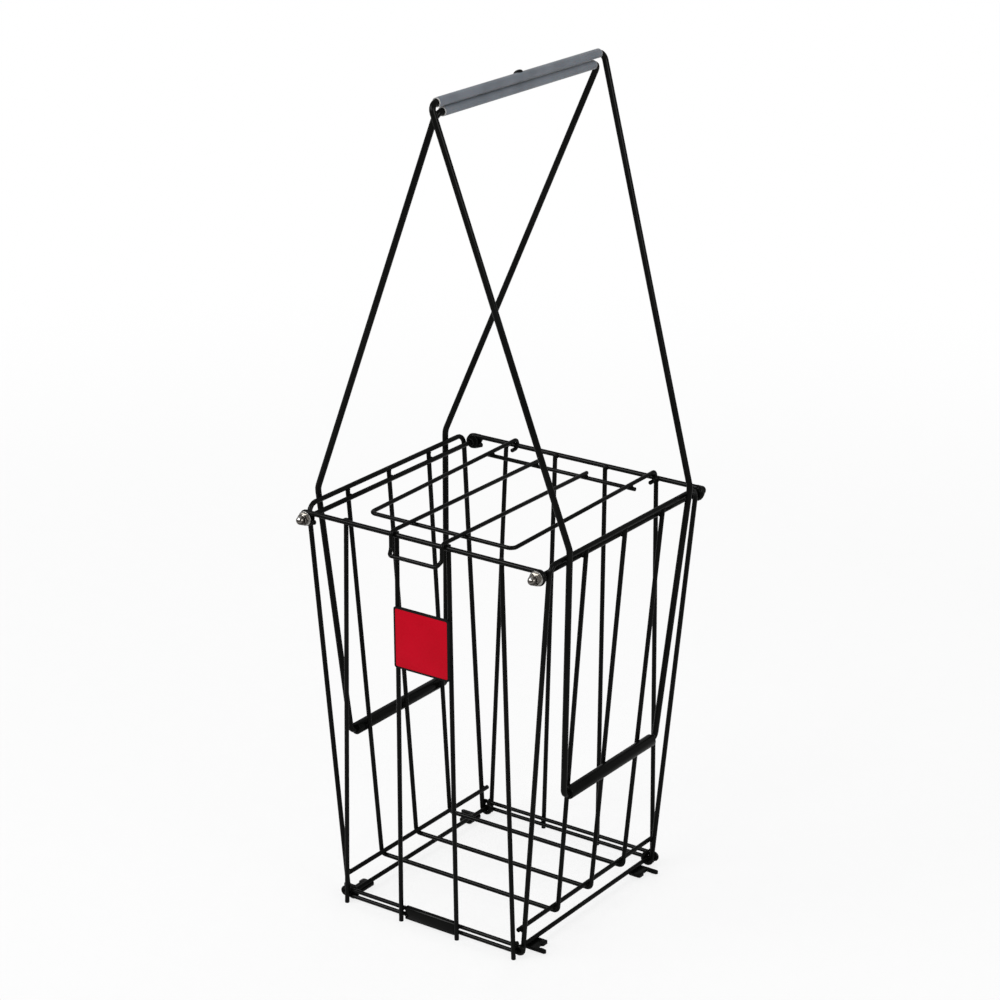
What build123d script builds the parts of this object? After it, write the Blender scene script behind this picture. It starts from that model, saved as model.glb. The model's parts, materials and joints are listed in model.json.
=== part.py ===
# Tennis ball hopper: a tapered wire basket with two fold-over handle frames and a wire lid
from math import asin, atan2, ceil, cos, degrees, radians, sin, sqrt, tan
import os

from build123d import *

# Frame: X runs across the front panel, Y from front to back, +Z up, floor at zero, all in millimetres

# Wire and rod diameters
rail_wire = 4.8
basket_wire = 4.5
loop_wire = 4.0
lid_wire = 4.0
handle_wire = 6.0

# Facets: wires are swept as many-sided bars, and bends in short straight steps, to keep the basket light
wire_sides = 12
bend_step = 20
washer_sides = 24

# Clearances between pieces
weld_gap = 0.1
bearing_gap = 0.08
rest_gap = 0.2
sleeve_gap = 0.1
moving_gap = 0.25

# Basket top
tie_rod_drop = 8.6
rail_hook_radius = 5.6
rail_hook_turn = 200
rail_hook_tail = 8.0
rail_half_depth = 134.5
hoop_height = 405.0
hoop_half_width = 135.5
hoop_corner_setback = 10.0
hoop_bend_radius = 10.0

# Basket foot
foot_half_width = 103.0
foot_half_depth = 113.2
foot_eye_radius = 4.9
foot_eye_turn = 250
floor_wire_height = 24.5
bottom_rail_overhang = 4.5
loop_half_length = 103.0
loop_spacing = 6.4
loop_height = 9.4

# Front and back uprights
upright_top_pitch = 58.2
upright_foot_pitch = 65.3
upright_count = 4
upright_tip_rise = 1.5

# Cross hoops that make the sides and the floor
cross_hoop_top_pitch = 65.0
cross_hoop_floor_pitch = 57.4
cross_hoop_names = {"front": -1, "middle": 0, "rear": 1}

# Channel plate round the front loop
channel_length = 58.0
channel_wall = 1.2
channel_drop = 3.2

# Tie rod fasteners
washer_diameter = 14.0
washer_thickness = 1.2
acorn_flats = 10.0
acorn_hex_height = 4.5
acorn_dome_diameter = 8.4
acorn_dome_height = 5.4
acorn_bore_depth = 7.0
dome_slopes = [0, 25, 50, 75]
clamp_nut_flats = 8.0
clamp_nut_height = 3.5

# Pivot tubes and handle frames
pivot_height = 159.6
pivot_tube_diameter = 12.0
pivot_end_play = 0.5
pivot_half_width = 79.2
pivot_corner_radius = 7.0
handle_knee_past_rod = 9.3
handle_knee_half_width = 102.1
handle_knee_radius = 16.0
grip_offset = 15.0
upper_grip_height = 806.5
upper_grip_half_width = 136.4
grip_nesting = 8.4
grip_corner_radius = 7.5
grip_diameter = 8.8
grip_drop = 9.4
catch_length = 17.0
catch_rise = 2.6
catch_start = 20
catch_turn = 120
catch_steps = 5
catch_end_rise = 0.8

# Leg clips
clip_thickness = 3.0
clip_seat_reach = 13.2
clip_mouth_half_width = 3.8
clip_prong_width = 4.0
clip_prong_reach = 21.0
clip_lobe_reach = 11.5
clip_lobe_width = 8.5
clip_barb = 0.5
clip_corner = 1.2

# Lid
lid_half_width = 80.5
lid_front_edge = 102.0
lid_corner_radius = 6.0
lid_front_rise = 0.3
lid_hook_tail = 5.0
lid_cross_wire_depth = 95.6
lid_cross_wire_overhang = 5.0
lid_centre_half_width = 28.5
lid_centre_tail = 3.0
tab_half_width = 26.0
tab_gap = 0.4
tab_knee_drop = 12.0
tab_drop = 16.5
tab_reach = 145.2
tab_bend_radius = 4.5
tab_corner_radius = 3.5

# Name plate on the two middle front uprights
plate_width = 62.4
plate_height = 61.5
plate_centre_height = 300.0
plate_thickness = 2.4
plate_rim = 1.8
plate_panel_thickness = 1.2
plate_corner_radius = 2.5
plate_hook_thickness = 2.0
plate_hook_length = 8.0
plate_hook_spacing = 40.0
plate_hook_gap = 0.3
plate_hook_reach = 1.8

# Places that follow from the sizes above
half_basket = basket_wire / 2
half_rail = rail_wire / 2
hoop_corner_half_depth = rail_half_depth - hoop_corner_setback
tie_rod_height = hoop_height - tie_rod_drop
rail_height = tie_rod_height + rail_hook_radius
foot_eye_height = foot_eye_radius + half_rail
side_slope = (hoop_half_width - foot_half_width) / (hoop_height - foot_eye_height)
side_lean = degrees(atan2(side_slope, 1))


def side_x(height, outward=0.0):
    """Half width of the side wires' plane at a height, plus a distance square to that plane."""
    on_plane = foot_half_width + side_slope * (height - foot_eye_height)
    return on_plane + outward / cos(radians(side_lean))


def post_depth(height):
    """Half depth of the corner posts at a height."""
    rise = (height - foot_eye_height) / (hoop_height - foot_eye_height)
    return foot_half_depth + (hoop_corner_half_depth - foot_half_depth) * rise


tie_rod_x = side_x(tie_rod_height, -(rail_wire + weld_gap))
bottom_rail_offset = half_rail + half_basket + weld_gap
bottom_rail_height = floor_wire_height + bottom_rail_offset
bottom_rail_x = side_x(bottom_rail_height, -bottom_rail_offset)
leg_bar_x = foot_half_width - foot_eye_radius * cos(radians(side_lean))
leg_bar_height = foot_eye_height + foot_eye_radius * sin(radians(side_lean))
clip_height = leg_bar_height - half_basket - weld_gap - clip_thickness / 2
loop_top = loop_height + loop_spacing / 2 + loop_wire / 2
loop_depth = post_depth(loop_top) + half_rail + loop_wire / 2 + weld_gap
upright_foot_depth = loop_depth + loop_wire / 2 + half_basket + weld_gap
upright_top_depth = rail_half_depth - half_rail - half_basket - weld_gap
pivot_x = side_x(pivot_height, half_basket + pivot_tube_diameter / 2 + weld_gap)


# Wire forming
def wire_solid(path, diameter):
    """Wire swept along a path of straight runs and bends, with each bend divided into short steps."""
    points = [path @ 0]
    for edge in path.order_edges():
        bend = degrees(edge.length / edge.radius) if edge.geom_type == GeomType.CIRCLE else 0
        steps = max(1, ceil(bend / bend_step))
        points += [edge @ ((step + 1) / steps) for step in range(steps)]
    route = Polyline(*points)
    section = Plane(origin=route @ 0, z_dir=route % 0) * RegularPolygon(diameter / 2, wire_sides)
    return sweep(section, path=route, transition=Transition.RIGHT)


def rod(start, end, diameter):
    """Straight round wire between two points."""
    return wire_solid(Wire([Line(start, end)]), diameter)


def curl(start, heading, toward, radius, turn):
    """Arc that leaves start along heading and turns by some degrees toward the given side."""
    heading = Vector(heading).normalized()
    toward = Vector(toward) - heading * Vector(toward).dot(heading)
    toward = toward.normalized()
    centre = Vector(start) + toward * radius

    def at(angle):
        return centre - toward * radius * cos(radians(angle)) + heading * radius * sin(radians(angle))

    arc = ThreePointArc(Vector(start), at(turn / 2), at(turn))
    end_heading = heading * cos(radians(turn)) + toward * sin(radians(turn))
    return arc, at(turn), end_heading


# Top rails: each ends in a hook that holds a tie rod
def top_rail():
    right_top = Vector(tie_rod_x, -rail_half_depth, rail_height)
    left_top = Vector(-tie_rod_x, -rail_half_depth, rail_height)
    right_arc, right_low, right_way = curl(right_top, (1, 0, 0), (0, 0, -1), rail_hook_radius, rail_hook_turn)
    left_arc, left_low, left_way = curl(left_top, (-1, 0, 0), (0, 0, -1), rail_hook_radius, rail_hook_turn)
    path = Wire([
        Line(left_low + left_way * rail_hook_tail, left_low),
        left_arc,
        Line(left_top, right_top),
        right_arc,
        Line(right_low, right_low + right_way * rail_hook_tail),
    ])
    return wire_solid(path, rail_wire)


# Side hoops: one wire makes two corner posts, the upper side rod and two rolled foot eyes
def side_hoop():
    front_foot = Vector(foot_half_width, -foot_half_depth, foot_eye_height)
    back_foot = Vector(foot_half_width, foot_half_depth, foot_eye_height)
    front_top = Vector(hoop_half_width, -hoop_corner_half_depth, hoop_height)
    back_top = Vector(hoop_half_width, hoop_corner_half_depth, hoop_height)
    arch = FilletPolyline(front_foot, front_top, back_top, back_foot, radius=hoop_bend_radius)
    inward = (-1, 0, 0)
    front_eye = curl(front_foot, front_foot - front_top, inward, foot_eye_radius, foot_eye_turn)[0]
    back_eye = curl(back_foot, back_foot - back_top, inward, foot_eye_radius, foot_eye_turn)[0]
    path = Wire([front_eye] + list(arch.edges()) + [back_eye])
    return wire_solid(path, rail_wire)


# Tie rods and their fasteners
washer_face = rail_half_depth + half_rail + weld_gap / 2
acorn_face = washer_face + washer_thickness + weld_gap / 2
inner_washer_face = rail_half_depth - half_rail - weld_gap / 2
clamp_nut_face = inner_washer_face - washer_thickness - weld_gap / 2
tie_rod_half_length = acorn_face + acorn_bore_depth - 2 * weld_gap
rod_hole = RegularPolygon(half_rail + weld_gap, wire_sides)


def tie_rod():
    end = tie_rod_half_length
    return rod((tie_rod_x, -end, tie_rod_height), (tie_rod_x, end, tie_rod_height), rail_wire)


def on_tie_rod(piece, depth):
    """Copies of a piece, made along +Z, on all four rod ends, pointing away from the basket."""
    copies = []
    for side in (-1, 1):
        for end in (-1, 1):
            place = (side * tie_rod_x, end * depth, tie_rod_height)
            copies.append(Plane(origin=place, x_dir=(1, 0, 0), z_dir=(0, end, 0)) * piece)
    return copies


def washer():
    ring = RegularPolygon(washer_diameter / 2, washer_sides) - rod_hole
    return extrude(ring, washer_thickness)


def clamp_nut():
    hexagon = RegularPolygon(clamp_nut_flats / 2, 6, major_radius=False) - rod_hole
    return extrude(hexagon, clamp_nut_height)


def acorn_nut():
    body = extrude(RegularPolygon(acorn_flats / 2, 6, major_radius=False), acorn_hex_height)
    dome_radius = acorn_dome_diameter / 2
    dome_straight = acorn_hex_height + acorn_dome_height - dome_radius
    rings = [RegularPolygon(dome_radius, wire_sides)]
    for slope in dome_slopes:
        ring = RegularPolygon(dome_radius * cos(radians(slope)), wire_sides)
        rings.append(Pos(0, 0, dome_straight + dome_radius * sin(radians(slope))) * ring)
    return body + loft(rings, ruled=True) - extrude(rod_hole, acorn_bore_depth)


# Front and back uprights, cut flat where they stand on the floor
def upright(index):
    across = index - (upright_count - 1) / 2
    top = Vector(across * upright_top_pitch, -upright_top_depth, rail_height)
    foot = Vector(across * upright_foot_pitch, -upright_foot_depth, loop_height)
    way = (top - foot).normalized()
    below_floor = foot - way * (loop_height + basket_wire)
    tip = top + way * upright_tip_rise
    return split(rod(below_floor, tip, basket_wire), bisect_by=Plane.XY, keep=Keep.TOP)


# Cross hoops: each goes down one side, under the bottom rails and up the other side
def cross_hoop(place):
    top_depth = place * cross_hoop_top_pitch
    floor_depth = place * cross_hoop_floor_pitch
    top_height = hoop_height - half_rail - weld_gap - half_basket * sin(radians(side_lean))
    right_top = Vector(side_x(top_height), top_depth, top_height)
    right_low = Vector(side_x(floor_wire_height), floor_depth, floor_wire_height)
    left_low = Vector(-right_low.X, right_low.Y, right_low.Z)
    left_top = Vector(-right_top.X, right_top.Y, right_top.Z)
    path = FilletPolyline(right_top, right_low, left_low, left_top, radius=bottom_rail_offset)
    return wire_solid(path, basket_wire)


def bottom_rail():
    end = foot_half_depth + bottom_rail_overhang
    start = (bottom_rail_x, -end, bottom_rail_height)
    return rod(start, (bottom_rail_x, end, bottom_rail_height), basket_wire)


# Closed double bar across the front and the back foot
def bottom_loop():
    plane = Plane(origin=(0, -loop_depth, loop_height), x_dir=(1, 0, 0), z_dir=(0, -1, 0))
    half = loop_spacing / 2
    quarter = Wire([
        Line((0, half), (loop_half_length, half)),
        ThreePointArc((loop_half_length, half), (loop_half_length + half, 0), (loop_half_length, -half)),
        Line((loop_half_length, -half), (0, -half)),
    ])
    right_half = wire_solid(plane * quarter, loop_wire)
    return right_half + right_half.mirror(Plane.YZ)


# Sheet channel folded over the front double bar between the middle uprights
def channel_plate():
    inner_half = loop_wire / 2 + weld_gap
    outer_half = inner_half + channel_wall
    fold_height = loop_height + loop_spacing / 2
    low = loop_height - loop_spacing / 2 - channel_drop
    seat = Plane(origin=(-channel_length / 2, -loop_depth, 0), x_dir=(0, 1, 0), z_dir=(1, 0, 0))
    outer = Pos(0, (fold_height + low) / 2) * Rectangle(2 * outer_half, fold_height - low)
    outer += Pos(0, fold_height) * Circle(outer_half)
    inner = Pos(0, (fold_height + low) / 2) * Rectangle(2 * inner_half, fold_height - low)
    inner += Pos(0, fold_height) * Circle(inner_half)
    return extrude(seat * (outer - inner), channel_length)


# Leg bars through the foot eyes, with flat hooked clips that hold the turned-down handles
def leg_bar():
    end = foot_half_depth + half_rail
    return rod((leg_bar_x, -end, leg_bar_height), (leg_bar_x, end, leg_bar_height), basket_wire)


# Handle frames: the lower legs lean on the side hoop's rod, the knees bend them to the middle
rod_reach = sqrt((hoop_half_width - pivot_x) ** 2 + (hoop_height - pivot_height) ** 2)
rod_angle = atan2(hoop_half_width - pivot_x, hoop_height - pivot_height)
rest_offset = half_rail + handle_wire / 2 + rest_gap
handle_lean = rod_angle + asin(rest_offset / rod_reach)
handle_knee_distance = rod_reach + handle_knee_past_rod
knee_x = pivot_x + handle_knee_distance * sin(handle_lean)
knee_height = pivot_height + handle_knee_distance * cos(handle_lean)

# The clips hold the handle frame's legs once these are turned down
clip_x = leg_bar_x + clip_seat_reach
leg_drop = pivot_height - clip_height
leg_swing = atan2(pivot_x - clip_x, leg_drop)
leg_run = leg_drop / cos(leg_swing)
leg_spread = (handle_knee_half_width - pivot_half_width) / handle_knee_distance
clip_depth = pivot_half_width + leg_spread * leg_run


def leg_clip():
    mouth = clip_mouth_half_width
    inner_edge = -(mouth + clip_lobe_width)
    outer_edge = mouth + clip_prong_width
    throat = clip_seat_reach - mouth
    blank = Polygon(
        (-half_basket, inner_edge),
        (clip_lobe_reach, inner_edge),
        (clip_lobe_reach, -mouth),
        (throat, -mouth),
        (throat, mouth),
        (clip_prong_reach, mouth),
        (clip_prong_reach, outer_edge),
        (-half_basket, outer_edge),
        align=None,
    )
    tips = [corner for corner in blank.vertices() if corner.X > throat + clip_corner or corner.X < 0]
    blank = chamfer(tips, clip_corner)
    mouth_cut = Pos(clip_seat_reach, 0) * Circle(mouth)
    barb_tip = clip_prong_reach - clip_corner - clip_prong_width
    barb = Polygon(
        (clip_prong_reach - clip_corner, mouth),
        (barb_tip, mouth - clip_barb),
        (barb_tip - clip_prong_width, mouth),
        align=None,
    )
    plate = extrude(blank + barb - mouth_cut, clip_thickness / 2, both=True)
    return Pos(leg_bar_x, clip_depth, clip_height) * plate


# Pivot tubes welded outside the cross hoops
def pivot_tube():
    corner_turn = atan2(1, leg_spread)
    corner_setback = pivot_corner_radius * tan(corner_turn / 2)
    half_length = pivot_half_width - corner_setback - pivot_end_play
    ring = Circle(pivot_tube_diameter / 2) - Circle(handle_wire / 2 + bearing_gap)
    seat = Plane(origin=(pivot_x, -half_length, pivot_height), x_dir=(1, 0, 0), z_dir=(0, 1, 0))
    return extrude(seat * ring, 2 * half_length)


def handle_frame(side, grip_height, grip_half_width):
    """Half of the frame is swept from pivot to grip, and its mirror image closes the loop."""
    pivot = (side * pivot_x, pivot_half_width, pivot_height)
    pivot_middle = (side * pivot_x, 0, pivot_height)
    knee = (side * knee_x, handle_knee_half_width, knee_height)
    grip = (grip_offset, grip_half_width, grip_height)
    grip_middle = (grip_offset, 0, grip_height)
    radii = [pivot_corner_radius, handle_knee_radius, grip_corner_radius]
    path = FilletPolyline(pivot_middle, pivot, knee, grip, grip_middle, radius=radii)
    back_half = wire_solid(path, handle_wire)
    return back_half + back_half.mirror(Plane.XZ)


def grip_sleeve(grip_height, grip_half_width):
    half_length = grip_half_width - grip_corner_radius - leg_spread * grip_corner_radius - pivot_end_play
    seat = Plane(origin=(grip_offset, -half_length, grip_height), x_dir=(1, 0, 0), z_dir=(0, 1, 0))
    ring = Circle(grip_diameter / 2) - Circle(handle_wire / 2 + sleeve_gap)
    return extrude(seat * ring, 2 * half_length)


# Small arched catch on the far side of the upper grip, lower toward its ends
def grip_catch():
    step = catch_turn / catch_steps
    inner = (grip_diameter / 2 + sleeve_gap / 2) / cos(radians(step / 2))
    angles = [catch_start + 90 - catch_turn + step * index for index in range(catch_steps + 1)]
    sections = []
    for along, rise in ((-1, catch_end_rise), (0, catch_rise), (1, catch_end_rise)):
        outer = inner + rise
        near = [(inner * cos(radians(angle)), inner * sin(radians(angle))) for angle in angles]
        far = [(outer * cos(radians(angle)), outer * sin(radians(angle))) for angle in angles]
        place = (grip_offset, along * catch_length / 2, upper_grip_height)
        seat = Plane(origin=place, x_dir=(-1, 0, 0), z_dir=(0, 1, 0))
        sections.append(seat * Polygon(*near, *reversed(far), align=None))
    return loft(sections, ruled=True)


# Lid: an outer wire hooked round the back rail, a cross wire and a centre wire with the finger tab
lid_hook_radius = half_rail + lid_wire / 2 + moving_gap
lid_back_height = rail_height + lid_hook_radius
lid_front_height = rail_height + lid_front_rise
lid_slope = (lid_back_height - lid_front_height) / (rail_half_depth + lid_front_edge)
lid_cross_wire_drop = lid_slope * (rail_half_depth - lid_cross_wire_depth) + lid_wire + weld_gap
lid_cross_wire_height = lid_back_height - lid_cross_wire_drop
lid_centre_back_height = lid_cross_wire_height + lid_wire + weld_gap
lid_centre_front_height = rail_height + half_rail + lid_wire / 2 + rest_gap


def lid_frame():
    hinge_right = Vector(lid_half_width, rail_half_depth, lid_back_height)
    hinge_left = Vector(-lid_half_width, rail_half_depth, lid_back_height)
    front_right = Vector(lid_half_width, -lid_front_edge, lid_front_height)
    front_left = Vector(-lid_half_width, -lid_front_edge, lid_front_height)
    bow = FilletPolyline(hinge_right, front_right, front_left, hinge_left, radius=lid_corner_radius)
    backward = hinge_right - front_right
    half_turn = 180
    right_arc, right_low, right_way = curl(hinge_right, backward, (0, 0, -1), lid_hook_radius, half_turn)
    left_arc, left_low, left_way = curl(hinge_left, backward, (0, 0, -1), lid_hook_radius, half_turn)
    path = Wire([
        Line(right_low + right_way * lid_hook_tail, right_low),
        right_arc,
        *bow.edges(),
        left_arc,
        Line(left_low, left_low + left_way * lid_hook_tail),
    ])
    return wire_solid(path, lid_wire)


def lid_cross_wire():
    end = lid_half_width + lid_cross_wire_overhang
    start = (-end, lid_cross_wire_depth, lid_cross_wire_height)
    return rod(start, (end, lid_cross_wire_depth, lid_cross_wire_height), lid_wire)


def lid_centre_wire():
    tab_depth = -(rail_half_depth + half_rail + lid_wire / 2 + tab_gap)
    right_side = [
        Vector(lid_centre_half_width, lid_cross_wire_depth + lid_centre_tail, lid_centre_back_height),
        Vector(lid_centre_half_width, tab_depth, lid_centre_front_height),
        Vector(lid_centre_half_width, tab_depth, rail_height - tab_knee_drop),
        Vector(tab_half_width, -tab_reach, rail_height - tab_drop),
    ]
    left_side = [Vector(-point.X, point.Y, point.Z) for point in reversed(right_side)]
    radii = [tab_bend_radius, tab_bend_radius, tab_corner_radius]
    path = FilletPolyline(*right_side, *left_side, radius=radii + radii[::-1])
    return wire_solid(path, lid_wire)


# Name plate: a rimmed holder hooked on the middle uprights and a bare panel in its recess
upright_tilt = (upright_top_depth - upright_foot_depth) / (rail_height - loop_height)
plate_wire_depth = upright_foot_depth + upright_tilt * (plate_centre_height - loop_height)
plate_wire_x = (upright_foot_pitch + (upright_top_pitch - upright_foot_pitch)
                * (plate_centre_height - loop_height) / (rail_height - loop_height)) / 2
plate_seat = Plane(
    origin=(0, -(plate_wire_depth + half_basket + weld_gap), plate_centre_height),
    x_dir=(1, 0, 0),
    z_dir=(0, -1, -upright_tilt),
)


def plate_holder():
    blank = extrude(RectangleRounded(plate_width, plate_height, plate_corner_radius), plate_thickness)
    recess = RectangleRounded(plate_width - 2 * plate_rim, plate_height - 2 * plate_rim,
                              plate_corner_radius - plate_rim / 2)
    floor_height = plate_thickness - plate_panel_thickness
    holder = blank - Pos(0, 0, floor_height) * extrude(recess, plate_panel_thickness)
    hook_depth = basket_wire + 2 * weld_gap + plate_hook_thickness
    leg_x = plate_wire_x - half_basket - plate_hook_gap - plate_hook_thickness / 2
    lip_width = plate_hook_thickness / 2 + plate_hook_reach
    for side in (-1, 1):
        for level in (-1, 1):
            centre = Pos(side * leg_x, level * plate_hook_spacing / 2, -hook_depth / 2)
            holder += centre * Box(plate_hook_thickness, plate_hook_length, hook_depth)
            lip_x = leg_x + lip_width / 2
            lip_z = -hook_depth + plate_hook_thickness / 2
            lip = Pos(side * lip_x, level * plate_hook_spacing / 2, lip_z)
            holder += lip * Box(lip_width, plate_hook_length, plate_hook_thickness)
    return plate_seat * holder


def plate_panel():
    inset = plate_rim + weld_gap
    corner_radius = plate_corner_radius - plate_rim / 2
    panel = RectangleRounded(plate_width - 2 * inset, plate_height - 2 * inset, corner_radius)
    thickness = plate_panel_thickness - weld_gap
    return plate_seat * Pos(0, 0, plate_thickness - plate_panel_thickness) * extrude(panel, thickness)


# All pieces by name
def all_pieces():
    lower_grip_height = upper_grip_height - grip_drop
    lower_grip_half_width = upper_grip_half_width - grip_nesting
    pieces = {"front_top_rail": top_rail()}
    pieces["back_top_rail"] = pieces["front_top_rail"].mirror(Plane.XZ)
    pieces["front_bottom_loop"] = bottom_loop()
    pieces["back_bottom_loop"] = pieces["front_bottom_loop"].mirror(Plane.XZ)
    pieces["front_channel_plate"] = channel_plate()
    for name, maker in {
        "side_hoop": side_hoop,
        "tie_rod": tie_rod,
        "bottom_rail": bottom_rail,
        "leg_bar": leg_bar,
        "pivot_tube": pivot_tube,
    }.items():
        pieces[f"right_{name}"] = maker()
        pieces[f"left_{name}"] = pieces[f"right_{name}"].mirror(Plane.YZ)
    for index in range(upright_count):
        pieces[f"front_upright_{index + 1}"] = upright(index)
        pieces[f"back_upright_{index + 1}"] = pieces[f"front_upright_{index + 1}"].mirror(Plane.XZ)
    for name, place in cross_hoop_names.items():
        pieces[f"{name}_cross_hoop"] = cross_hoop(place)
    pieces["right_back_leg_clip"] = leg_clip()
    pieces["left_back_leg_clip"] = pieces["right_back_leg_clip"].mirror(Plane.YZ)
    pieces["right_front_leg_clip"] = pieces["right_back_leg_clip"].mirror(Plane.XZ)
    pieces["left_front_leg_clip"] = pieces["left_back_leg_clip"].mirror(Plane.XZ)
    pieces["outer_washers"] = Compound(on_tie_rod(washer(), washer_face))
    pieces["inner_washers"] = Compound(on_tie_rod(washer(), inner_washer_face - washer_thickness))
    pieces["clamp_nuts"] = Compound(on_tie_rod(clamp_nut(), clamp_nut_face - clamp_nut_height))
    pieces["acorn_nuts"] = Compound(on_tie_rod(acorn_nut(), acorn_face))
    pieces["right_handle_frame"] = handle_frame(1, upper_grip_height, upper_grip_half_width)
    pieces["right_grip"] = grip_sleeve(upper_grip_height, upper_grip_half_width)
    pieces["grip_catch"] = grip_catch()
    pieces["left_handle_frame"] = handle_frame(-1, lower_grip_height, lower_grip_half_width)
    pieces["left_grip"] = grip_sleeve(lower_grip_height, lower_grip_half_width)
    pieces["lid_frame"] = lid_frame()
    pieces["lid_cross_wire"] = lid_cross_wire()
    pieces["lid_centre_wire"] = lid_centre_wire()
    pieces["name_plate_holder"] = plate_holder()
    pieces["name_plate_panel"] = plate_panel()
    return pieces


os.makedirs("parts", exist_ok=True)
for name, piece in all_pieces().items():
    export_step(piece, f"parts/{name}.step")
turned_down = 180 + degrees(leg_swing - handle_lean)
print(f"pivot at x {pivot_x:.2f}, z {pivot_height:.2f}; handle travel {turned_down:.2f} degrees")
print(f"lid hinge at y {rail_half_depth:.2f}, z {rail_height:.2f}; clips at x {clip_x:.2f}, y {clip_depth:.2f}")
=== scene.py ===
import json
from math import atan2, cos, pi, radians, sin, sqrt, tan

import bmesh
import bpy
from mathutils import Matrix, Vector
from mathutils.bvhtree import BVHTree


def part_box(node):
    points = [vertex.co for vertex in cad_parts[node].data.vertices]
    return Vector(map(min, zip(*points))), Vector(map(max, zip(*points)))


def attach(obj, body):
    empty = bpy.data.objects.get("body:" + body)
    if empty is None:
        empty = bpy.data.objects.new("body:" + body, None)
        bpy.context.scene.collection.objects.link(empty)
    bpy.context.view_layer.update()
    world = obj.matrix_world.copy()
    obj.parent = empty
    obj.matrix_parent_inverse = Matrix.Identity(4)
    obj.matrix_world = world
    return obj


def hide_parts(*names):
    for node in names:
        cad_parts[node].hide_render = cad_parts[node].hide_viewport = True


# Colours of the paint, the grips, the name plate and the plated fasteners, linear. The nut colours are
# painted reflection bands and a painted highlight
black_paint = (0.0022, 0.0023, 0.0020, 1)
black_paint_worn = (0.0045, 0.0046, 0.0042, 1)
grip_grey = (0.175, 0.193, 0.220, 1)
grip_grey_deep = (0.135, 0.150, 0.172, 1)
grip_lip_grey = (0.50, 0.49, 0.47, 1)
plate_red = (0.49, 0.0, 0.012, 1)
plate_red_deep = (0.45, 0.0, 0.010, 1)
holder_black = (0.008, 0.008, 0.0085, 1)
washer_silver = (0.80, 0.78, 0.74, 1)
washer_silver_dull = (0.34, 0.32, 0.29, 1)
nut_painted_dark = (0.09, 0.08, 0.07, 1)
nut_painted_mid = (0.45, 0.42, 0.38, 1)
nut_painted_highlight = (0.95, 0.93, 0.90, 1)

# Painted reflection on the polished nuts: colour bands and a painted highlight, by how far the skin turns
# to a fixed bright way, from 0 where it faces away to 1 where it faces it
nut_painted_reflection_bands = ((0.50, nut_painted_dark), (0.72, nut_painted_mid), (0.80, nut_painted_dark), (0.91, nut_painted_mid), (0.97, nut_painted_highlight))
nut_painted_highlight_way = (-0.13, -0.605, 0.786)

# CAD nodes that look different from the rest of their slot
special_materials = {"outer_washers": "washers"}

# Grip marks: how the noise is scaled across and along the sleeves, so that the marks run along them
grip_mark_scale = (1, 0.05, 1)

# CAD edges: smooth up to the round limit, and bevelled past a bevel limit. Widths in metres
round_edge_limit = radians(42)
bevel_edge_limit = radians(60)
clip_edge_limit = radians(30)
wire_bevel = 0.0006
plate_bevel = 0.0002
clip_bevel = 0.0012
bevel_segments = 3
merge_distance = 0.00001
thin_slots = ("black_holder", "red_panel", "plated_nuts")

# Weld beads between wires that touch, in metres
weld_reach = 0.0004
weld_step = 0.0012
weld_apart = 0.007
bead_radius = 0.0027
bead_thickness = 0.0017
bead_subdivisions = 2
uprights_per_face = 4

# Acorn nuts, in metres
nut_apothem = 0.0050
nut_hex_height = 0.0045
nut_chamfer_angle = radians(30)
nut_dome_radius = 0.0042
nut_dome_foot = 0.0057
nut_sides = 6
nut_steps_per_side = 8
dome_steps = 8
nut_corner_radius = nut_apothem / cos(pi / nut_sides)
nut_length = nut_dome_foot + nut_dome_radius

# Catch on the grip and the lips of the grips' ends, in metres
catch_half_length = 0.0055
catch_rise = 0.0024
catch_turn = radians(110)
catch_rings = 13
catch_arc_steps = 10
lip_radius = 0.0039
lip_thickness = 0.0005
lip_steps = 32
lip_section_steps = 8

# Studio floor: its share of clearness near the object and far out, and where it changes, in metres
floor_white = (0.86, 0.86, 0.86, 1)
floor_white_dim = (0.8428, 0.8428, 0.8428, 1)
floor_clear_near = 0.8
floor_clear_far = 1.0
floor_fade_start = 0.9
floor_fade_end = 2.2
floor_half_size = 4.0

# Studio lamps, in metres and watts
lamps = {
    "key": {"place": (-1.9, -2.6, 2.9), "aim": (0, 0, 0.4), "size": 1.8, "power": 64},
    "fill": {"place": (2.8, -0.6, 1.9), "aim": (0, 0, 0.4), "size": 1.6, "power": 25},
    "back": {"place": (-0.9, 2.6, 2.8), "aim": (0, 0, 0.5), "size": 2.4, "power": 24},
    "spark": {"place": (0.2, -3.0, 2.6), "aim": (0, 0, 0.4), "size": 0.5, "power": 16},
}
lamps_not_mirrored = ("back",)

# White room round the object: how strongly it lights it, and how strongly it shows in reflections
world_white = (1, 1, 1, 1)
world_level = 0.55
world_level_mirrored = 0.25

# Camera in the photo's place
camera_place = (1.5006, -2.1730, 1.3751)
camera_azimuth = radians(34.71)
camera_elevation = radians(20.24)
camera_roll = radians(0.31)
camera_focal_px = 2992.8
photo_size_px = 1000
sensor_width_mm = 36.0


def new_material(name):
    """Node material with its shader and a coordinate source ready."""
    material = bpy.data.materials.new(name)
    material.use_nodes = True
    nodes = material.node_tree.nodes
    shader = nodes["Principled BSDF"]
    place = nodes.new("ShaderNodeTexCoord")
    return material, nodes, material.node_tree.links, shader, place.outputs["Object"]


def noise(nodes, links, place, scale, detail, roughness=0.5):
    """Noise texture output at a scale in cycles per metre."""
    texture = nodes.new("ShaderNodeTexNoise")
    texture.inputs["Scale"].default_value = scale
    texture.inputs["Detail"].default_value = detail
    texture.inputs["Roughness"].default_value = roughness
    links.new(place, texture.inputs["Vector"])
    return texture.outputs["Fac"]


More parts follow.
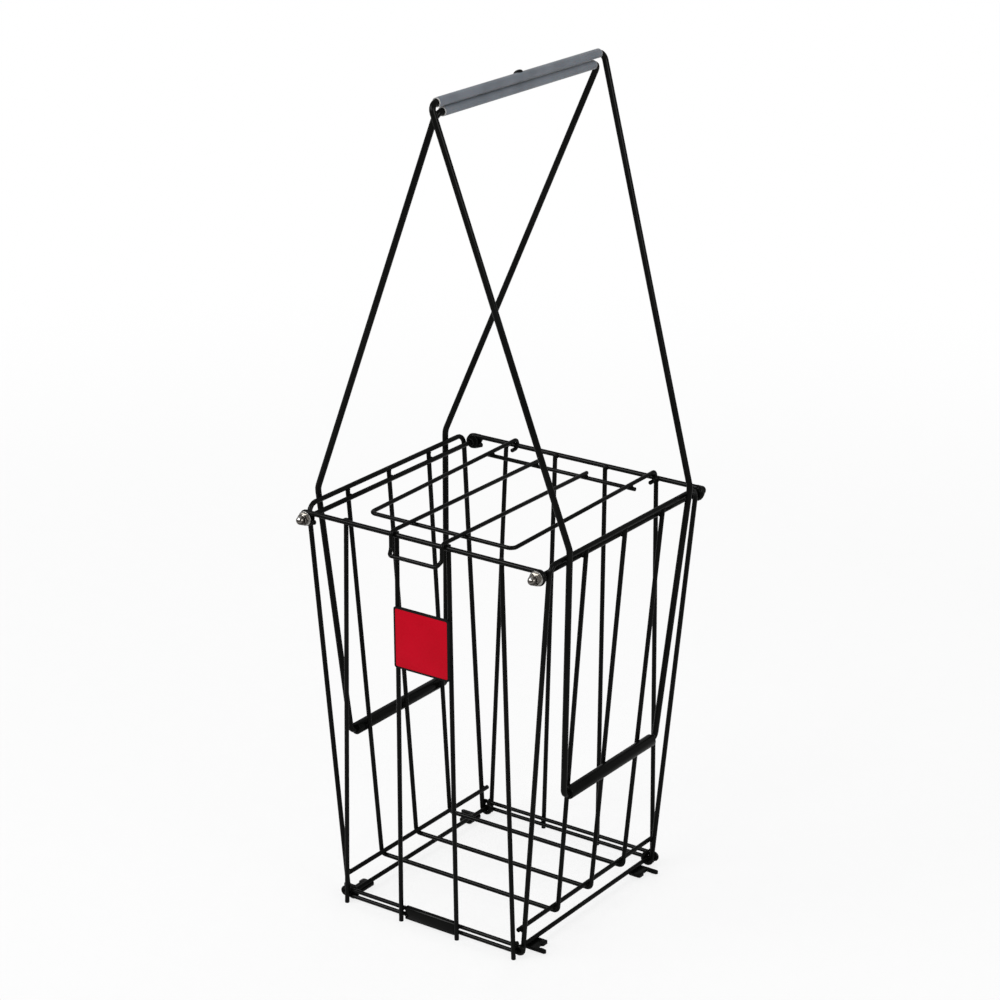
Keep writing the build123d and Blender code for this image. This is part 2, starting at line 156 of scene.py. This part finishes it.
def colour_blend(nodes, links, factor, first, second, low=0.35, high=0.65):
    """Colour that goes from first to second as the factor goes from low to high."""
    ramp = nodes.new("ShaderNodeValToRGB")
    ramp.color_ramp.elements[0].position = low
    ramp.color_ramp.elements[0].color = first
    ramp.color_ramp.elements[1].position = high
    ramp.color_ramp.elements[1].color = second
    links.new(factor, ramp.inputs["Fac"])
    return ramp.outputs["Color"]


def value_range(nodes, links, factor, low, high):
    """Factor from 0 to 1 mapped to a range."""
    mapper = nodes.new("ShaderNodeMapRange")
    mapper.inputs["To Min"].default_value = low
    mapper.inputs["To Max"].default_value = high
    links.new(factor, mapper.inputs["Value"])
    return mapper.outputs["Result"]


def bump(nodes, links, height, strength, distance):
    """Bump normal from a height, with the distance in metres."""
    node = nodes.new("ShaderNodeBump")
    node.inputs["Strength"].default_value = strength
    node.inputs["Distance"].default_value = distance
    links.new(height, node.inputs["Height"])
    return node.outputs["Normal"]


def black_wire_material():
    """Glossy black dip paint with a faint orange peel and duller patches."""
    material, nodes, links, shader, place = new_material("black_wire_paint")
    patches = noise(nodes, links, place, scale=18, detail=3)
    peel = noise(nodes, links, place, scale=900, detail=2)
    colour = colour_blend(nodes, links, patches, black_paint, black_paint_worn)
    links.new(colour, shader.inputs["Base Color"])
    links.new(value_range(nodes, links, patches, low=0.14, high=0.24), shader.inputs["Roughness"])
    links.new(bump(nodes, links, peel, strength=0.02, distance=0.0001), shader.inputs["Normal"])
    shader.inputs["Specular IOR Level"].default_value = 0.12
    return material


def weld_material():
    """The same black paint where it lies thick and lumpy over the welds."""
    material, nodes, links, shader, place = new_material("black_weld_paint")
    lumps = noise(nodes, links, place, scale=700, detail=3)
    colour = colour_blend(nodes, links, lumps, black_paint, black_paint_worn)
    links.new(colour, shader.inputs["Base Color"])
    links.new(value_range(nodes, links, lumps, low=0.3, high=0.5), shader.inputs["Roughness"])
    links.new(bump(nodes, links, lumps, strength=0.6, distance=0.0006), shader.inputs["Normal"])
    shader.inputs["Specular IOR Level"].default_value = 0.07
    return material


def grip_material():
    """Soft grey vinyl with a dull sheen and faint drawing marks along its length."""
    material, nodes, links, shader, place = new_material("grey_vinyl")
    stretch = nodes.new("ShaderNodeMapping")
    stretch.inputs["Scale"].default_value = grip_mark_scale
    links.new(place, stretch.inputs["Vector"])
    marks = noise(nodes, links, stretch.outputs["Vector"], scale=900, detail=3)
    clouds = noise(nodes, links, place, scale=35, detail=2)
    colour = colour_blend(nodes, links, clouds, grip_grey_deep, grip_grey)
    links.new(colour, shader.inputs["Base Color"])
    links.new(value_range(nodes, links, marks, low=0.28, high=0.34), shader.inputs["Roughness"])
    links.new(bump(nodes, links, marks, strength=0.02, distance=0.0001), shader.inputs["Normal"])
    shader.inputs["Specular IOR Level"].default_value = 0.45
    shader.inputs["Subsurface Weight"].default_value = 0.1
    shader.inputs["Subsurface Scale"].default_value = 0.002
    shader.inputs["Sheen Weight"].default_value = 0.25
    shader.inputs["Sheen Roughness"].default_value = 0.3
    return material


def grip_lip_material():
    """Pale grey, with a fine grain, for the rims at both ends of the sleeves."""
    material, nodes, links, shader, place = new_material("pale_sleeve_rim")
    grain = noise(nodes, links, place, scale=1100, detail=3)
    colour = colour_blend(nodes, links, grain, grip_grey, grip_lip_grey, low=0.2, high=0.5)
    links.new(colour, shader.inputs["Base Color"])
    links.new(value_range(nodes, links, grain, low=0.4, high=0.6), shader.inputs["Roughness"])
    links.new(bump(nodes, links, grain, strength=0.2, distance=0.0001), shader.inputs["Normal"])
    return material


def front_only(nodes, links, place):
    """1 at the front half of the object, 0 at the back half."""
    depth = nodes.new("ShaderNodeSeparateXYZ")
    links.new(place, depth.inputs["Vector"])
    front = nodes.new("ShaderNodeMath")
    front.operation = "LESS_THAN"
    front.inputs[1].default_value = 0
    links.new(depth.outputs["Y"], front.inputs[0])
    return front.outputs["Value"]


def plate_front(nodes, links, shader, place, steel):
    """Bare plated steel on the front corners' fasteners, and black paint over the back ones."""
    front = front_only(nodes, links, place)
    painted = nodes.new("ShaderNodeMix")
    painted.data_type = "RGBA"
    painted.inputs["A"].default_value = black_paint
    links.new(front, painted.inputs["Factor"])
    links.new(steel, painted.inputs["B"])
    links.new(painted.outputs["Result"], shader.inputs["Base Color"])
    links.new(front, shader.inputs["Metallic"])


def painted_nut_reflection(nodes, links):
    """Colour of the polished nuts as painted reflection bands and a painted highlight, by how far their
    skin turns to the fixed bright way.
    """
    skin_way = nodes.new("ShaderNodeNewGeometry")
    toward_painted_highlight = nodes.new("ShaderNodeVectorMath")
    toward_painted_highlight.operation = "DOT_PRODUCT"
    toward_painted_highlight.inputs[1].default_value = nut_painted_highlight_way
    links.new(skin_way.outputs["Normal"], toward_painted_highlight.inputs[0])
    share = nodes.new("ShaderNodeMapRange")
    share.inputs["From Min"].default_value = -1
    links.new(toward_painted_highlight.outputs["Value"], share.inputs["Value"])
    bands = nodes.new("ShaderNodeValToRGB")
    stops = bands.color_ramp.elements
    while len(stops) < len(nut_painted_reflection_bands):
        stops.new(0.5)
    for stop, (position, colour) in zip(stops, nut_painted_reflection_bands):
        stop.position = position
        stop.color = colour
    links.new(share.outputs["Result"], bands.inputs["Fac"])
    return bands.outputs["Color"]


def nut_material():
    """Polished plated steel, with dark and bright bands of painted reflection and a painted highlight in
    its colour.
    """
    material, nodes, links, shader, place = new_material("plated_steel_painted_reflection")
    # The front nuts take the painted reflection bands as their colour, and the back ones black paint
    plate_front(nodes, links, shader, place, painted_nut_reflection(nodes, links))
    smears = noise(nodes, links, place, scale=330, detail=2, roughness=0.4)
    links.new(value_range(nodes, links, smears, low=0.08, high=0.2), shader.inputs["Roughness"])
    links.new(bump(nodes, links, smears, strength=0.03, distance=0.0001), shader.inputs["Normal"])
    shader.inputs["Specular IOR Level"].default_value = 0.12
    return material


def washer_material():
    """Brighter, satin plated steel of the outer washers."""
    material, nodes, links, shader, place = new_material("plated_washer")
    smears = noise(nodes, links, place, scale=260, detail=2, roughness=0.4)
    steel = colour_blend(nodes, links, smears, washer_silver_dull, washer_silver, low=0.38, high=0.5)
    plate_front(nodes, links, shader, place, steel)
    links.new(value_range(nodes, links, smears, low=0.2, high=0.35), shader.inputs["Roughness"])
    shader.inputs["Specular IOR Level"].default_value = 0.12
    return material


def panel_material():
    """Red moulded plastic with a fine grain."""
    material, nodes, links, shader, place = new_material("red_plastic")
    clouds = noise(nodes, links, place, scale=30, detail=2)
    grain = noise(nodes, links, place, scale=1500, detail=2)
    colour = colour_blend(nodes, links, clouds, plate_red_deep, plate_red)
    links.new(colour, shader.inputs["Base Color"])
    links.new(value_range(nodes, links, grain, low=0.38, high=0.5), shader.inputs["Roughness"])
    links.new(bump(nodes, links, grain, strength=0.15, distance=0.0001), shader.inputs["Normal"])
    shader.inputs["Specular IOR Level"].default_value = 0.06
    return material


def holder_material():
    """Black moulded plastic with a fine grain."""
    material, nodes, links, shader, place = new_material("black_plastic")
    grain = noise(nodes, links, place, scale=1200, detail=3)
    colour = colour_blend(nodes, links, grain, holder_black, black_paint_worn)
    links.new(colour, shader.inputs["Base Color"])
    links.new(value_range(nodes, links, grain, low=0.4, high=0.55), shader.inputs["Roughness"])
    links.new(bump(nodes, links, grain, strength=0.2, distance=0.0001), shader.inputs["Normal"])
    shader.inputs["Specular IOR Level"].default_value = 0.12
    return material


def new_geometry_group(name):
    """Empty geometry node group, with its input and output nodes."""
    group = bpy.data.node_groups.new(name, "GeometryNodeTree")
    group.interface.new_socket("Geometry", in_out="INPUT", socket_type="NodeSocketGeometry")
    group.interface.new_socket("Geometry", in_out="OUTPUT", socket_type="NodeSocketGeometry")
    return group, group.nodes.new("NodeGroupInput"), group.nodes.new("NodeGroupOutput")


def join_faces_group():
    """Node group that welds a CAD mesh's split faces together and drops its stored normals."""
    group, source, result = new_geometry_group("join_faces")
    bare = group.nodes.new("GeometryNodeRemoveAttribute")
    bare.inputs["Name"].default_value = "custom_normal"
    joined = group.nodes.new("GeometryNodeMergeByDistance")
    joined.inputs["Distance"].default_value = merge_distance
    group.links.new(source.outputs["Geometry"], bare.inputs["Geometry"])
    group.links.new(bare.outputs["Geometry"], joined.inputs["Geometry"])
    group.links.new(joined.outputs["Geometry"], result.inputs["Geometry"])
    return group


def round_shading_group():
    """Node group that shades a mesh smooth, except over edges sharper than the limit."""
    group, source, result = new_geometry_group("round_shading")
    smooth = group.nodes.new("GeometryNodeSetShadeSmooth")
    angle = group.nodes.new("GeometryNodeInputMeshEdgeAngle")
    sharp = group.nodes.new("FunctionNodeCompare")
    sharp.data_type = "FLOAT"
    sharp.operation = "GREATER_THAN"
    sharp.inputs["B"].default_value = round_edge_limit
    crisp = group.nodes.new("GeometryNodeSetShadeSmooth")
    crisp.domain = "EDGE"
    crisp.inputs["Shade Smooth"].default_value = False
    group.links.new(source.outputs["Geometry"], smooth.inputs["Geometry"])
    group.links.new(angle.outputs["Unsigned Angle"], sharp.inputs["A"])
    group.links.new(smooth.outputs["Geometry"], crisp.inputs["Geometry"])
    group.links.new(sharp.outputs["Result"], crisp.inputs["Selection"])
    group.links.new(crisp.outputs["Geometry"], result.inputs["Geometry"])
    return group


def soften(piece, bevel_width, edge_limit):
    """Rounded sharp edges and smooth shading on a CAD node, by modifiers alone."""
    piece.modifiers.new("join_faces", "NODES").node_group = groups["join_faces"]
    bevel = piece.modifiers.new("rounded_ends", "BEVEL")
    bevel.limit_method = "ANGLE"
    bevel.angle_limit = edge_limit
    bevel.width = bevel_width
    bevel.segments = bevel_segments
    piece.modifiers.new("round_shading", "NODES").node_group = groups["round_shading"]


def dress_cad_nodes():
    """Material and softened edges on every CAD node."""
    slot_of = {piece["node"]: piece["material_slot"] for piece in frame["record"]["subparts"]}
    for name, node in frame["nodes"].items():
        node.data.materials.clear()
        node.data.materials.append(materials[special_materials.get(name, slot_of[name])])
        if "leg_clip" in name:
            soften(node, clip_bevel, clip_edge_limit)
        elif slot_of[name] in thin_slots:
            soften(node, plate_bevel, bevel_edge_limit)
        else:
            soften(node, wire_bevel, bevel_edge_limit)


def new_piece(name, shape, material, body):
    """Object made from a bmesh, shaded smooth, that rides on a body."""
    mesh = bpy.data.meshes.new(name)
    shape.to_mesh(mesh)
    shape.free()
    mesh.shade_smooth()
    mesh.materials.append(material)
    piece = bpy.data.objects.new(name, mesh)
    bpy.context.scene.collection.objects.link(piece)
    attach(piece, body)
    return piece


def skin(shape, rings, closed=True):
    """Faces between each ring of corners and the next, all the way round when the rings are closed."""
    for first, second in zip(rings, rings[1:]):
        count = len(first)
        for index in range(count if closed else count - 1):
            after = (index + 1) % count
            shape.faces.new((first[index], first[after], second[after], second[index]))


def surface_of(name):
    """Search tree of a CAD node's faces."""
    mesh = frame["nodes"][name].data
    corners = [vertex.co.copy() for vertex in mesh.vertices]
    return BVHTree.FromPolygons(corners, [tuple(face.vertices) for face in mesh.polygons])


def grouped(places):
    """Middle and way of each group of places that lie close together."""
    groups_found = []
    for point, way in places:
        for group in groups_found:
            if (group[0][0] - point).length < weld_apart:
                group.append((point, way))
                break
        else:
            groups_found.append([(point, way)])
    middles = []
    for group in groups_found:
        middle = sum((point for point, way in group), Vector()) / len(group)
        across = sum((way for point, way in group), Vector())
        middles.append((middle, across.normalized()))
    return middles


def touches(name, other):
    """Places where two CAD wires all but touch, each with the way across the gap."""
    mesh = frame["nodes"][name].data
    surface = surface_of(other)
    places = []
    for edge in mesh.edges:
        start = mesh.vertices[edge.vertices[0]].co
        end = mesh.vertices[edge.vertices[1]].co
        steps = max(1, round((end - start).length / weld_step))
        for step in range(steps + 1):
            point = start.lerp(end, step / steps)
            hit, normal = surface.find_nearest(point, weld_reach)[:2]
            if hit is not None:
                places.append(((point + hit) / 2, normal))
    return grouped(places)


def add_welds(name, pairs, body):
    """One piece with a lumpy bead at each place where the pairs of wires touch."""
    shape = bmesh.new()
    for first, second in pairs:
        for place, across in touches(first, second):
            turn = across.to_track_quat("Z", "Y").to_matrix().to_4x4()
            size = Matrix.Diagonal((bead_radius, bead_radius, bead_thickness, 1))
            seat = Matrix.Translation(place) @ turn @ size
            bmesh.ops.create_icosphere(shape, subdivisions=bead_subdivisions, radius=1, matrix=seat)
    welds = new_piece(name, shape, materials["weld"], body)


def basket_weld_pairs():
    """Pairs of basket wires that are welded together."""
    pairs = []
    for face in ("front", "back"):
        for index in range(1, uprights_per_face + 1):
            pairs.append((f"{face}_upright_{index}", f"{face}_top_rail"))
            pairs.append((f"{face}_upright_{index}", f"{face}_bottom_loop"))
    for side in ("right", "left"):
        for place in ("front", "middle", "rear"):
            for other in ("side_hoop", "tie_rod", "pivot_tube", "bottom_rail"):
                pairs.append((f"{place}_cross_hoop", f"{side}_{other}"))
        for other in ("front_bottom_loop", "back_bottom_loop", f"{side}_bottom_rail", f"{side}_leg_bar"):
            pairs.append((other, f"{side}_side_hoop"))
    return pairs


def nut_radius(angle, height):
    """Distance from the nut's axis to its hexagon, whose outer corners are cut by a cone."""
    corner = pi / nut_sides
    from_flat = (angle % (2 * corner)) - corner
    hexagon = nut_apothem / cos(from_flat)
    cone = nut_apothem + (nut_hex_height - height) / tan(nut_chamfer_angle)
    return min(hexagon, cone)


def nut_rings(count):
    """Height and radii of each ring of an acorn nut, from its foot up to just under the dome's tip."""
    chamfer_height = (nut_corner_radius - nut_apothem) * tan(nut_chamfer_angle)
    heights = [0, nut_hex_height - chamfer_height, nut_hex_height - chamfer_height / 2, nut_hex_height]
    rings = []
    for height in heights:
        radii = [nut_radius(2 * pi * index / count, height) for index in range(count)]
        rings.append((height, radii))
    rings.append((nut_hex_height, [nut_dome_radius] * count))
    for step in range(dome_steps):
        slope = step / dome_steps * pi / 2
        height = nut_dome_foot + nut_dome_radius * sin(slope)
        rings.append((height, [nut_dome_radius * cos(slope)] * count))
    return rings


def add_acorn_nut(shape, seat):
    """Domed nut with a chamfered hexagon, made as rings along its axis."""
    count = nut_sides * nut_steps_per_side
    rings = []
    for height, radii in nut_rings(count):
        ring = []
        for index, radius in enumerate(radii):
            angle = 2 * pi * index / count
            place = Vector((radius * cos(angle), radius * sin(angle), height))
            ring.append(shape.verts.new(seat @ place))
        rings.append(ring)
    tip = shape.verts.new(seat @ Vector((0, 0, nut_length)))
    skin(shape, rings)
    for index in range(count):
        shape.faces.new((rings[-1][index], rings[-1][(index + 1) % count], tip))
    shape.faces.new(list(reversed(rings[0])))


def add_nuts():
    """Four refined acorn nuts in the places of the CAD ones."""
    low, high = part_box("acorn_nuts")
    middle_height = (low.z + high.z) / 2
    shape = bmesh.new()
    for x in (low.x + nut_corner_radius, high.x - nut_corner_radius):
        for y, way in ((low.y + nut_length, -1), (high.y - nut_length, 1)):
            turn = Vector((0, way, 0)).to_track_quat("Z", "Y").to_matrix().to_4x4()
            add_acorn_nut(shape, Matrix.Translation((x, y, middle_height)) @ turn)
    bmesh.ops.recalc_face_normals(shape, faces=shape.faces)
    nuts = new_piece("domed_nuts", shape, materials["plated_nuts"], "basket")
    nuts.modifiers.new("round_shading", "NODES").node_group = groups["round_shading"]
    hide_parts("acorn_nuts")


def add_catch():
    """Small black arch on the far side of the upper grip, highest in its middle."""
    low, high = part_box("right_grip")
    catch_low, catch_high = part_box("grip_catch")
    grip_radius = (high.z - low.z) / 2
    axis_x = (low.x + high.x) / 2
    axis_z = (low.z + high.z) / 2
    catch_x = (catch_low.x + catch_high.x) / 2
    catch_z = (catch_low.z + catch_high.z) / 2
    middle_angle = atan2(catch_z - axis_z, catch_x - axis_x)
    shape = bmesh.new()
    rings = []
    for ring_index in range(catch_rings):
        along = ring_index / (catch_rings - 1) * 2 - 1
        swell = sqrt(1 - along * along)
        ring = []
        for step in range(catch_arc_steps + 1):
            across = step / catch_arc_steps * 2 - 1
            angle = middle_angle + across * swell * catch_turn / 2
            radius = grip_radius + catch_rise * swell * sqrt(1 - across * across)
            x = axis_x + radius * cos(angle)
            z = axis_z + radius * sin(angle)
            ring.append(shape.verts.new((x, along * catch_half_length, z)))
        rings.append(ring)
    skin(shape, rings, closed=False)
    bmesh.ops.remove_doubles(shape, verts=shape.verts, dist=merge_distance)
    bmesh.ops.recalc_face_normals(shape, faces=shape.faces)
    catch = new_piece("arched_catch", shape, materials["black_holder"], "right_handle")
    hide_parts("grip_catch")


def add_grip_lips(name, body):
    """Pale rounded lips at both ends of a grip sleeve."""
    low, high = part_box(name)
    axis = Vector(((low.x + high.x) / 2, 0, (low.z + high.z) / 2))
    shape = bmesh.new()
    for end in (low.y + lip_thickness / 2, high.y - lip_thickness / 2):
        rings = []
        for step in range(lip_steps):
            turn = 2 * pi * step / lip_steps
            ring = []
            for section in range(lip_section_steps):
                roll = 2 * pi * section / lip_section_steps
                radius = lip_radius + lip_thickness * cos(roll)
                offset = Vector((radius * cos(turn), end + lip_thickness * sin(roll), radius * sin(turn)))
                ring.append(shape.verts.new(axis + offset))
            rings.append(ring)
        skin(shape, rings + rings[:1])
    bmesh.ops.recalc_face_normals(shape, faces=shape.faces)
    lips = new_piece(f"{name}_lips", shape, materials["grip_lip"], body)


def seen_directly(nodes, links):
    """1 for camera, glossy and transmission rays, 0 for the rest."""
    path = nodes.new("ShaderNodeLightPath")
    total = path.outputs["Is Camera Ray"]
    for name in ("Is Glossy Ray", "Is Transmission Ray"):
        larger = nodes.new("ShaderNodeMath")
        larger.operation = "MAXIMUM"
        links.new(total, larger.inputs[0])
        links.new(path.outputs[name], larger.inputs[1])
        total = larger.outputs["Value"]
    return total


def floor_material():
    """White floor that takes a soft shadow near the object and fades into the white room further out.

    Seen directly it is mostly clear, so the legs still show when they are turned down past it.
    """
    material, nodes, links, shader, place = new_material("studio_floor")
    grain = noise(nodes, links, place, scale=40, detail=2)
    colour = colour_blend(nodes, links, grain, floor_white_dim, floor_white)
    links.new(colour, shader.inputs["Base Color"])
    shader.inputs["Roughness"].default_value = 1.0
    shader.inputs["Specular IOR Level"].default_value = 0.0
    distance = nodes.new("ShaderNodeVectorMath")
    distance.operation = "LENGTH"
    links.new(place, distance.inputs[0])
    clearness = nodes.new("ShaderNodeMapRange")
    clearness.interpolation_type = "SMOOTHSTEP"
    clearness.inputs["From Min"].default_value = floor_fade_start
    clearness.inputs["From Max"].default_value = floor_fade_end
    clearness.inputs["To Min"].default_value = floor_clear_near
    clearness.inputs["To Max"].default_value = floor_clear_far
    links.new(distance.outputs["Value"], clearness.inputs["Value"])
    share = nodes.new("ShaderNodeMath")
    share.operation = "MULTIPLY"
    links.new(seen_directly(nodes, links), share.inputs[0])
    links.new(clearness.outputs["Result"], share.inputs[1])
    clear = nodes.new("ShaderNodeBsdfTransparent")
    blend = nodes.new("ShaderNodeMixShader")
    links.new(share.outputs["Value"], blend.inputs["Fac"])
    links.new(shader.outputs["BSDF"], blend.inputs[1])
    links.new(clear.outputs["BSDF"], blend.inputs[2])
    links.new(blend.outputs["Shader"], nodes["Material Output"].inputs["Surface"])
    return material


def add_floor():
    """Square studio floor at the height that the hopper stands on."""
    mesh = bpy.data.meshes.new("studio_floor")
    half = floor_half_size
    corners = [(-half, -half, 0), (half, -half, 0), (half, half, 0), (-half, half, 0)]
    mesh.from_pydata(corners, [], [(0, 1, 2, 3)])
    floor = bpy.data.objects.new("studio_floor", mesh)
    bpy.context.scene.collection.objects.link(floor)
    mesh.materials.append(floor_material())


def add_lamp(name, place, aim, size, power):
    """Square studio lamp that points at a place. Lamps listed as not mirrored stay out of reflections."""
    light = bpy.data.lights.new(name, "AREA")
    light.size = size
    light.energy = power
    lamp = bpy.data.objects.new(name, light)
    bpy.context.scene.collection.objects.link(lamp)
    lamp.location = place
    lamp.rotation_euler = (Vector(aim) - Vector(place)).to_track_quat("-Z", "Y").to_euler()
    lamp.visible_glossy = name not in lamps_not_mirrored


def set_world():
    """Even studio light at one level, dimmer in reflections, and white where the camera sees it."""
    world = bpy.data.worlds.new("studio")
    bpy.context.scene.world = world
    world.use_nodes = True
    nodes = world.node_tree.nodes
    links = world.node_tree.links
    path = nodes.new("ShaderNodeLightPath")
    glossy = path.outputs["Is Glossy Ray"]
    level = value_range(nodes, links, glossy, low=world_level, high=world_level_mirrored)
    strength = nodes.new("ShaderNodeMath")
    strength.operation = "MAXIMUM"
    links.new(level, strength.inputs[0])
    links.new(path.outputs["Is Camera Ray"], strength.inputs[1])
    links.new(strength.outputs["Value"], nodes["Background"].inputs["Strength"])
    nodes["Background"].inputs["Color"].default_value = world_white


def add_camera():
    """Camera that sees the hopper as the photo does."""
    data = bpy.data.cameras.new("photo_view")
    data.sensor_width = sensor_width_mm
    data.lens = camera_focal_px * sensor_width_mm / photo_size_px
    camera = bpy.data.objects.new("photo_view", data)
    bpy.context.scene.collection.objects.link(camera)
    turn = Matrix.Rotation(camera_azimuth, 4, "Z")
    tilt = Matrix.Rotation(radians(90) - camera_elevation, 4, "X")
    roll = Matrix.Rotation(camera_roll, 4, "Z")
    camera.matrix_world = Matrix.Translation(camera_place) @ turn @ tilt @ roll
    bpy.context.scene.camera = camera


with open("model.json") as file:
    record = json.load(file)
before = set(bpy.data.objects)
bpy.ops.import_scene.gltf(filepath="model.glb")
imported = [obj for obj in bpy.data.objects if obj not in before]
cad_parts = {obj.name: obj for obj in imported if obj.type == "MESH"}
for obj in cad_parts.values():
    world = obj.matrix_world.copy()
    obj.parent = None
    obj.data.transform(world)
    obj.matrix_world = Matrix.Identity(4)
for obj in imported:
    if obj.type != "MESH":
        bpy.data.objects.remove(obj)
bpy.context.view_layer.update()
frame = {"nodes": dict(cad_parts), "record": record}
materials = {
    "black_wire": black_wire_material(),
    "plated_nuts": nut_material(),
    "grey_grips": grip_material(),
    "black_holder": holder_material(),
    "red_panel": panel_material(),
    "washers": washer_material(),
    "weld": weld_material(),
    "grip_lip": grip_lip_material(),
}
groups = {"join_faces": join_faces_group(), "round_shading": round_shading_group()}

dress_cad_nodes()
add_nuts()
add_catch()
add_grip_lips("right_grip", "right_handle")
add_grip_lips("left_grip", "left_handle")
add_welds("basket_welds", basket_weld_pairs(), "basket")
add_welds("lid_welds", [("lid_cross_wire", "lid_frame"), ("lid_cross_wire", "lid_centre_wire")], "lid")

add_floor()
set_world()
for lamp_name, lamp_settings in lamps.items():
    add_lamp(lamp_name, **lamp_settings)
add_camera()
bpy.context.scene.view_settings.view_transform = "Standard"
